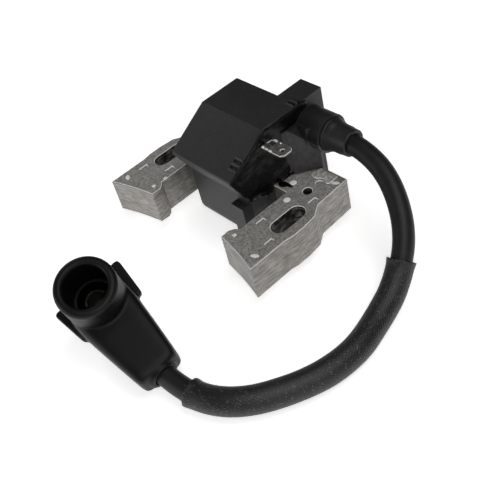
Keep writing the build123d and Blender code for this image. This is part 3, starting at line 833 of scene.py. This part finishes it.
# CR rubber: dark grey, matt and smudged, with a fine grain.
cable_rubber, tree, shader, place = new_material("extruded cable rubber", 0.5, ior=1.4)
smudge, smudged = mottle(tree, place, 6.0, "121112", "1d1b1d")
tree.links.new(smudged, shader.inputs["Base Color"])
vary_roughness(tree, shader, smudge, 0.44, 0.56)
raise_bump(tree, shader, grains(tree, place, 0.5, detail=5.0), 0.03, 0.8)
cable = lay_cable("high_tension_cable", lead_r)
cable.data.materials.append(cable_rubber)
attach(cable, "root")
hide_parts("lead_jacket")

# The stranded conductor inside it
strands = mottled_material(
    "tinned copper strands", (0.35, 1.0), 0.4, ("9a8f84", "d9d4cc"), bump=0.04
)
core_wire = lay_cable("cable_conductor", core_wire_r)
core_wire.data.materials.append(strands)
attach(core_wire, "root")
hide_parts("lead_conductor")

# ---- Braided sleeve ----
# Glass yarn braided on a tube and dipped in black varnish. It fits loosely over the cable where
# it could touch the engine, and its cut ends flare and fray a little.
sleeve_r = 5.0
braid_depth = 0.17
carriers = 32               # yarns each way round
yarn_pitch = 0.78           # along the sleeve, from one crossing to the next
around = 224
sleeve_step = 0.2
sleeve_reach = 0.78         # the sleeve ends at this part of the cable's ninth run
sleeve_wall = 0.45
inside_every = 6            # the smooth inside has fewer rows
flare_height = 0.3
flare_length = 1.6
fray_count = 16


def nearest_on_line(place):
    """Which point of the cable's line is nearest."""
    return min(range(len(line)), key=lambda i: (line[i] - place).length)


def spaced(points, step):
    """The same line in even steps, read from it."""
    even = [points[0].copy()]
    left = step
    for a, b in zip(points, points[1:]):
        length = (b - a).length
        while left <= length:
            even.append(a.lerp(b, left / length))
            left += step
        left -= length
    return even


first = nearest_on_line((route[3] + route[4]) / 2)
last = nearest_on_line(route[8].lerp(route[9], sleeve_reach))
sleeve_line = spaced(line[first : last + 1], sleeve_step)


def carry_frames(points):
    """A direction and two sides at each point, carried along without twist."""
    frames = []
    direction = (points[1] - points[0]).normalized()
    side = direction.cross(Vector((0, 0, 1))).normalized()
    for i, at in enumerate(points):
        ahead = (points[min(i + 1, len(points) - 1)] - points[max(i - 1, 0)]).normalized()
        side = (side - ahead * side.dot(ahead)).normalized()
        frames.append((at, ahead, side, ahead.cross(side)))
    return frames


def braid_height(s, angle):
    """Height of the braid at a distance along it and an angle round it, from 0 to 1."""
    a = carriers * angle / (2 * math.pi) + s / (2 * yarn_pitch)
    b = carriers * angle / (2 * math.pi) - s / (2 * yarn_pitch)
    bulge_a = math.sin(math.pi * (a % 1.0))
    bulge_b = math.sin(math.pi * (b % 1.0))
    if (math.floor(a) + math.floor(b)) % 2 == 0:
        return bulge_a**0.6 * (0.45 + 0.55 * bulge_b)
    return bulge_b**0.6 * (0.45 + 0.55 * bulge_a)


frames = carry_frames(sleeve_line)
total = len(frames)
turns = [2 * math.pi * k / around for k in range(around)]


def flare(row):
    """How much wider the sleeve is at a row, near its cut ends."""
    from_end = min(row, total - 1 - row) * sleeve_step
    return flare_height * math.exp(-((from_end / flare_length) ** 2))


def ring_point(row, radius, angle):
    """A point round the cable at a row of the sleeve."""
    at, _, side, up = frames[row]
    return at + radius * (math.cos(angle) * side + math.sin(angle) * up)


form = bmesh.new()
# Each corner holds the braid's height, which paints the gaps darker as shade.
shade = form.loops.layers.float_color.new("yarn")
# The frays' numbers come after as many draws as there are yarns
yarns = random.Random(11)
for _ in range(2 * carriers):
    yarns.uniform(0.75, 1.0)
outer_loops = []
tones = []
for row in range(total):
    along = row * sleeve_step
    swell = 0.10 * noise.noise(Vector((along * 0.09, 2.0, 0.0)))
    mean_r = sleeve_r + flare(row) + swell
    loop = []
    heights = [braid_height(along, angle) for angle in turns]
    for angle, height in zip(turns, heights):
        place = ring_point(row, mean_r + braid_depth * (height - 0.5), angle)
        if row in (0, total - 1):
            round_end = Vector((math.cos(angle) * 4, math.sin(angle) * 4, row // (total // 2)))
            place += frames[row][1] * 0.25 * noise.noise(round_end)
        loop.append(form.verts.new(place))
    outer_loops.append(loop)
    tones.append(heights)
inner_loops = []
for row in [*range(0, total - 1, inside_every), total - 1]:
    radius = sleeve_r - sleeve_wall + flare(row)
    inner_loops.append([form.verts.new(ring_point(row, radius, angle)) for angle in turns])
for row, (low, high) in enumerate(zip(outer_loops, outer_loops[1:])):
    for k in range(around):
        face = form.faces.new((low[k - 1], low[k], high[k], high[k - 1]))
        corners = (tones[row][k - 1], tones[row][k], tones[row + 1][k], tones[row + 1][k - 1])
        for corner, tone in zip(face.loops, corners):
            corner[shade] = (tone, tone, tone, 1.0)
for low, high in zip(inner_loops, inner_loops[1:]):
    for k in range(around):
        form.faces.new((low[k - 1], high[k - 1], high[k], low[k]))
for outer, inner in ((outer_loops[0], inner_loops[0]), (outer_loops[-1], inner_loops[-1])):
    for k in range(around):
        form.faces.new((outer[k - 1], outer[k], inner[k], inner[k - 1]))

# Varnished glass yarn: black and glossy, painted darker in the gaps as shade and greyer on the
# crowns, with pale filaments.
braid, tree, shader, place = new_material("varnished glass braid", 0.4, ior=1.5)
crown = add_node(tree, "ShaderNodeVertexColor", layer_name="yarn").outputs["Color"]
yarn_colour_with_gap_shade = run_colours(tree, crown, "040404", "211f20")
wear = grains(tree, place, 0.8, detail=5.0)
pale = reckon(tree, "GREATER_THAN", wear, 0.62)
threads = blend_colours(tree, "MIX", pale, yarn_colour_with_gap_shade, to_linear("55524e"))
tree.links.new(threads, shader.inputs["Base Color"])
vary_roughness(tree, shader, wear, 0.28, 0.5)
raise_bump(tree, shader, grains(tree, place, 0.25, detail=3.0), 0.03, 0.7)
sleeve = new_piece("glass_braid_sleeve", form, [braid], "sleeve_braid", "braided_sleeve", sharp=180.0)

# A few cut filaments stick out at both ends
form = bmesh.new()
for end, (at, ahead, side, up) in ((-1, frames[0]), (1, frames[-1])):
    for _ in range(fray_count):
        angle = yarns.uniform(0, 2 * math.pi)
        out = math.cos(angle) * side + math.sin(angle) * up
        start = at + out * (sleeve_r + yarns.uniform(-0.2, 0.25))
        reach = yarns.uniform(0.6, 1.5)
        bend = out * yarns.uniform(0.0, 0.35) + ahead * end
        across = bend.cross(out).normalized() * 0.07
        base = [form.verts.new(start + step) for step in (across, -across, out * 0.1)]
        point = form.verts.new(start + bend * reach)
        for k in range(3):
            form.faces.new((base[k - 1], base[k], point))
        form.faces.new(base[::-1])
frays = new_piece("sleeve_frays", form, [braid], "sleeve_braid")

# ---- Plug boot ----
# A right-angled boot moulded in silicone rubber, with a thick rolled mouth, a body that tapers
# to the cable and a pair of wings to pull it off by.
boot_roll = math.radians(12.0)
mouth_lean = math.radians(6.0)
mouth_r = 11.4
mouth_reach = 22.4
mouth_roll = 1.9            # radius of the mouth's rolled edge
elbow_back = -11.0
boot_bore_r = 7.9
bore_floor = -5.0
bore_step = 6.5             # the clip's chamber is narrower than the mouth
clip_chamber_r = 7.0
bore_lip = 1.5
lead_fit = 0.05
bead_r = 5.7                # the collar where the cable enters
past_end = 3.0              # a cutter stands out past what it cuts
level = Vector((0, 0, 1)).cross(boot_axis).normalized()
boot_up = Matrix.Rotation(-boot_roll, 3, boot_axis) @ boot_axis.cross(level)
boot_turn = Matrix((boot_axis, boot_up.cross(boot_axis), boot_up)).transposed()
boot_frame = Matrix.Translation(elbow) @ boot_turn.to_4x4()
mouth_turn = Matrix.Rotation(mouth_lean, 3, "Y") @ boot_turn
mouth_frame = Matrix.Translation(elbow) @ mouth_turn.to_4x4()
neck_end = -(elbow - neck).length


def add_loft(form, sections, placing, steps=48):
    """A skin through rounded sections of (x, half width, half height, squareness)."""
    loops = []
    for x, half_y, half_z, power in sections:
        loop = []
        for i in range(steps):
            a = 2 * math.pi * i / steps
            c, s = math.cos(a), math.sin(a)
            y = half_y * math.copysign(abs(c) ** (2 / power), c)
            z = half_z * math.copysign(abs(s) ** (2 / power), s)
            loop.append(form.verts.new(placing @ Vector((x, y, z))))
        loops.append(loop)
    for low, high in zip(loops, loops[1:]):
        for i in range(steps):
            form.faces.new((low[i - 1], low[i], high[i], high[i - 1]))
    form.faces.new(loops[0][::-1])
    form.faces.new(loops[-1])


form = bmesh.new()
body = [
    (-36.2, 7.2, 5.2, 4.0),
    (-35.6, 8.0, 6.1, 5.0),
    (-33.5, 8.6, 6.6, 6.0),
    (-26.0, 9.6, 7.4, 6.0),
    (-16.0, 10.8, 8.5, 6.0),
    (-8.0, 11.7, 9.2, 6.0),
    (0.0, 11.7, 9.2, 6.0),
]
add_loft(form, body, boot_frame)
add_loft(form, [(neck_end, bead_r, bead_r, 2.0), (-30.0, 5.9, 5.9, 2.0)], boot_frame)
tube_profile = [(0.0, elbow_back), (9.6, elbow_back)]
tube_profile += [*fillet_points((9.8, -9.4), 1.6, -90, 0), (11.35, 17.6), (11.3, 18.2)]
roll_centre = (mouth_r - mouth_roll, mouth_reach - mouth_roll)
tube_profile += [*fillet_points(roll_centre, mouth_roll, 0, 90, 8), (0.0, mouth_reach)]
add_lathe(form, tube_profile, mouth_frame, steps=96)
wing = bmesh.new()
wing_outline = round_corners([(-7.8, -14.0), (9.6, -15.8), (9.3, 14.9), (-7.5, 13.0)], 1.8)
add_plate(wing, [wing_outline], [(-1.4, 0.3), (-1.1, 0.0), (1.1, 0.0), (1.4, 0.3)])
wing.transform(boot_frame)
add_part(form, wing)

cutter = bmesh.new()
bore_profile = [(0.0, bore_floor), (clip_chamber_r, bore_floor), (clip_chamber_r, bore_step)]
bore_profile += [(boot_bore_r, bore_step), (boot_bore_r, mouth_reach - bore_lip)]
lip_centre = (boot_bore_r + bore_lip, mouth_reach - bore_lip)
bore_profile += fillet_points(lip_centre, bore_lip, 180, 90, 8)
bore_profile += [(boot_bore_r + 1.6, mouth_reach + past_end), (0.0, mouth_reach + past_end)]
add_lathe(cutter, bore_profile, mouth_frame, steps=96)
cable_hole = [(0.0, neck_end - past_end), (lead_r + lead_fit, neck_end - past_end)]
cable_hole += [(lead_r + lead_fit, neck_end + lead_depth), (0.0, neck_end + lead_depth)]
add_lathe(cutter, cable_hole, boot_frame @ Matrix.Rotation(math.pi / 2, 4, "Y"), steps=48)
bmesh.ops.recalc_face_normals(cutter, faces=cutter.faces)
cutter_mesh = bpy.data.meshes.new("boot_bores")
cutter.to_mesh(cutter_mesh)
cutter.free()
boot_mesh = settle("spark_plug_boot", form, 0.42, 8, cutter_mesh)

# Silicone rubber: soft black, matt, with faint handling marks that shine a little.
boot_rubber, tree, shader, place = new_material("moulded silicone rubber", 0.5, ior=1.33)
handling, handled = mottle(tree, place, 5.0, "060506", "0b0a0b")
tree.links.new(handled, shader.inputs["Base Color"])
vary_roughness(tree, shader, handling, 0.42, 0.56)
raise_bump(tree, shader, grains(tree, place, 0.6, detail=5.0), 0.05, 0.7)
boot = new_piece("spark_plug_boot", boot_mesh, [boot_rubber], "boot_rubber", "plug_boot", sharp=50.0)

# The clip and the needle inside the boot, and the pin inside the outlet; their nickel is painted
# dark as shade, deep in the bores.
spring_brass_in_shade = mottled_material(
    "nickel on spring brass painted dark as shade", (0.4, 1.0), 1.5, ("2f2e2b", "4a4843"), bump=0.03,
    rough=(0.25, 0.45),
)
for node in ("plug_clip", "lead_needle", "high_voltage_pin"):
    keep_node(node, spring_brass_in_shade)

# ---- Winding ----
# A primary of enamelled copper on a nylon bobbin, wrapped in polyester film, inside a secondary
# of much finer wire wound in chambers. All of it is sealed in the potting.
nylon = ("natural nylon bobbin", (0.4, 0.0, 1.53), 4.0, ("cbc3ae", "ded8c6"))
bobbin = mottled_material(*nylon, bump=0.02)
for node in ("primary_bobbin", "secondary_bobbin"):
    keep_node(node, bobbin)
for name, node, turn_pitch, low, high in (
    ("enamelled primary wire", "primary_winding", 0.6, "6e2f16", "b8652e"),
    ("fine enamelled secondary wire", "secondary_winding", 0.25, "7c3a1b", "c27439"),
):
    wire, tree, shader, place = new_material(name, 0.3, 0.8)
    links = {"Vector": place, "Scale": wave_period / (turn_pitch * mm)}
    links.update({"Distortion": 0.6, "Detail": 1.0})
    turn = add_node(tree, "ShaderNodeTexWave", links, bands_direction="X").outputs["Fac"]
    tree.links.new(run_colours(tree, turn, low, high), shader.inputs["Base Color"])
    raise_bump(tree, shader, turn, turn_pitch / 4)
    keep_node(node, wire)
polyester = ("polyester film tape", (0.22, 0.0, 1.6), 5.0, ("b98a35", "d4ac58"))
keep_node("winding_wrap", mottled_material(*polyester, bump=0.03))

# ---- Trigger board ----
# A small glass-epoxy board with the transistor, two resistors, a diode and a capacitor that
# switch the primary, buried in the potting under the hood.
laminate, tree, shader, place = new_material("green glass epoxy board", 0.4, ior=1.55)
weave_square = 0.5
links = {"Vector": place, "Scale": 1 / (weave_square * mm)}
links.update({"Color1": to_linear("1f5a3a"), "Color2": to_linear("256644")})
weave = add_node(tree, "ShaderNodeTexChecker", links)
tree.links.new(weave.outputs["Color"], shader.inputs["Base Color"])
raise_bump(tree, shader, weave.outputs["Fac"], 0.02)
keep_node("trigger_board", laminate)
for name, nodes, hexes in (
    ("moulded epoxy package", ("switching_transistor", "board_diode"), ("18181a", "2a2a2c")),
    ("tan conformal coating", ("board_resistors", "board_capacitor"), ("a98a5e", "c2a577")),
    ("primary lead enamel", ("primary_leads",), ("8a4320", "b8652e")),
):
    coating = mottled_material(name, (0.4,), 0.8, hexes, bump=0.03)
    for node in nodes:
        keep_node(node, coating)

# ---- Floor and light ----
# A plain pale floor that glows a little, a dim room and soft lamps round the coil.
floor_half = 3.0
floor_glow = 0.62
room_light = 0.08           # what the room gives the coil
room_seen = 0.72            # and how bright it looks past the floor's edge
lamp_aim = Vector((0.03, -0.01, 0.0))
floor = bpy.data.objects.new("floor", bpy.data.meshes.new("floor"))
grid = bmesh.new()
bmesh.ops.create_grid(grid, x_segments=1, y_segments=1, size=floor_half)
grid.to_mesh(floor.data)
grid.free()
floor.location.z = cad_box[0][2]
scene.collection.objects.link(floor)
white, tree, shader, place = new_material("studio paper", 0.8)
_, sheen = mottle(tree, place, 40.0, "f6f6f6", "fafafa", 0.35, 0.65)
tree.links.new(sheen, shader.inputs["Base Color"])
shader.inputs["Emission Color"].default_value = (1, 1, 1, 1)
shader.inputs["Emission Strength"].default_value = floor_glow
floor.data.materials.append(white)
scene.view_settings.view_transform = "Standard"
world = bpy.data.worlds.new("studio")
world.use_nodes = True
surround = world.node_tree.nodes["Background"]
surround.inputs["Color"].default_value = (1, 1, 1, 1)
seen = add_node(world.node_tree, "ShaderNodeLightPath").outputs["Is Camera Ray"]
links = {"Value": seen, "To Min": room_light, "To Max": room_seen}
bright = add_node(world.node_tree, "ShaderNodeMapRange", links)
world.node_tree.links.new(bright.outputs[0], surround.inputs["Strength"])
scene.world = world


def soft_light(name, at, size, power):
    """A square lamp that faces the coil."""
    lamp = bpy.data.lights.new(name, "AREA")
    lamp.size = size
    lamp.energy = power
    obj = bpy.data.objects.new(name, lamp)
    obj.location = at
    obj.rotation_mode = "QUATERNION"
    obj.rotation_quaternion = (lamp_aim - Vector(at)).to_track_quat("-Z", "Y")
    scene.collection.objects.link(obj)


soft_light("overhead", (0.26, 0.10, 0.75), 0.4, 1.7)
soft_light("camera_side", (0.40, -0.25, 0.55), 0.3, 1.0)
soft_light("low_front", (-0.25, -0.60, 0.14), 0.25, 0.75)
soft_light("left", (-0.60, 0.0, 0.30), 0.2, 0.5)
soft_light("right", (0.60, -0.15, 0.25), 0.2, 0.25)
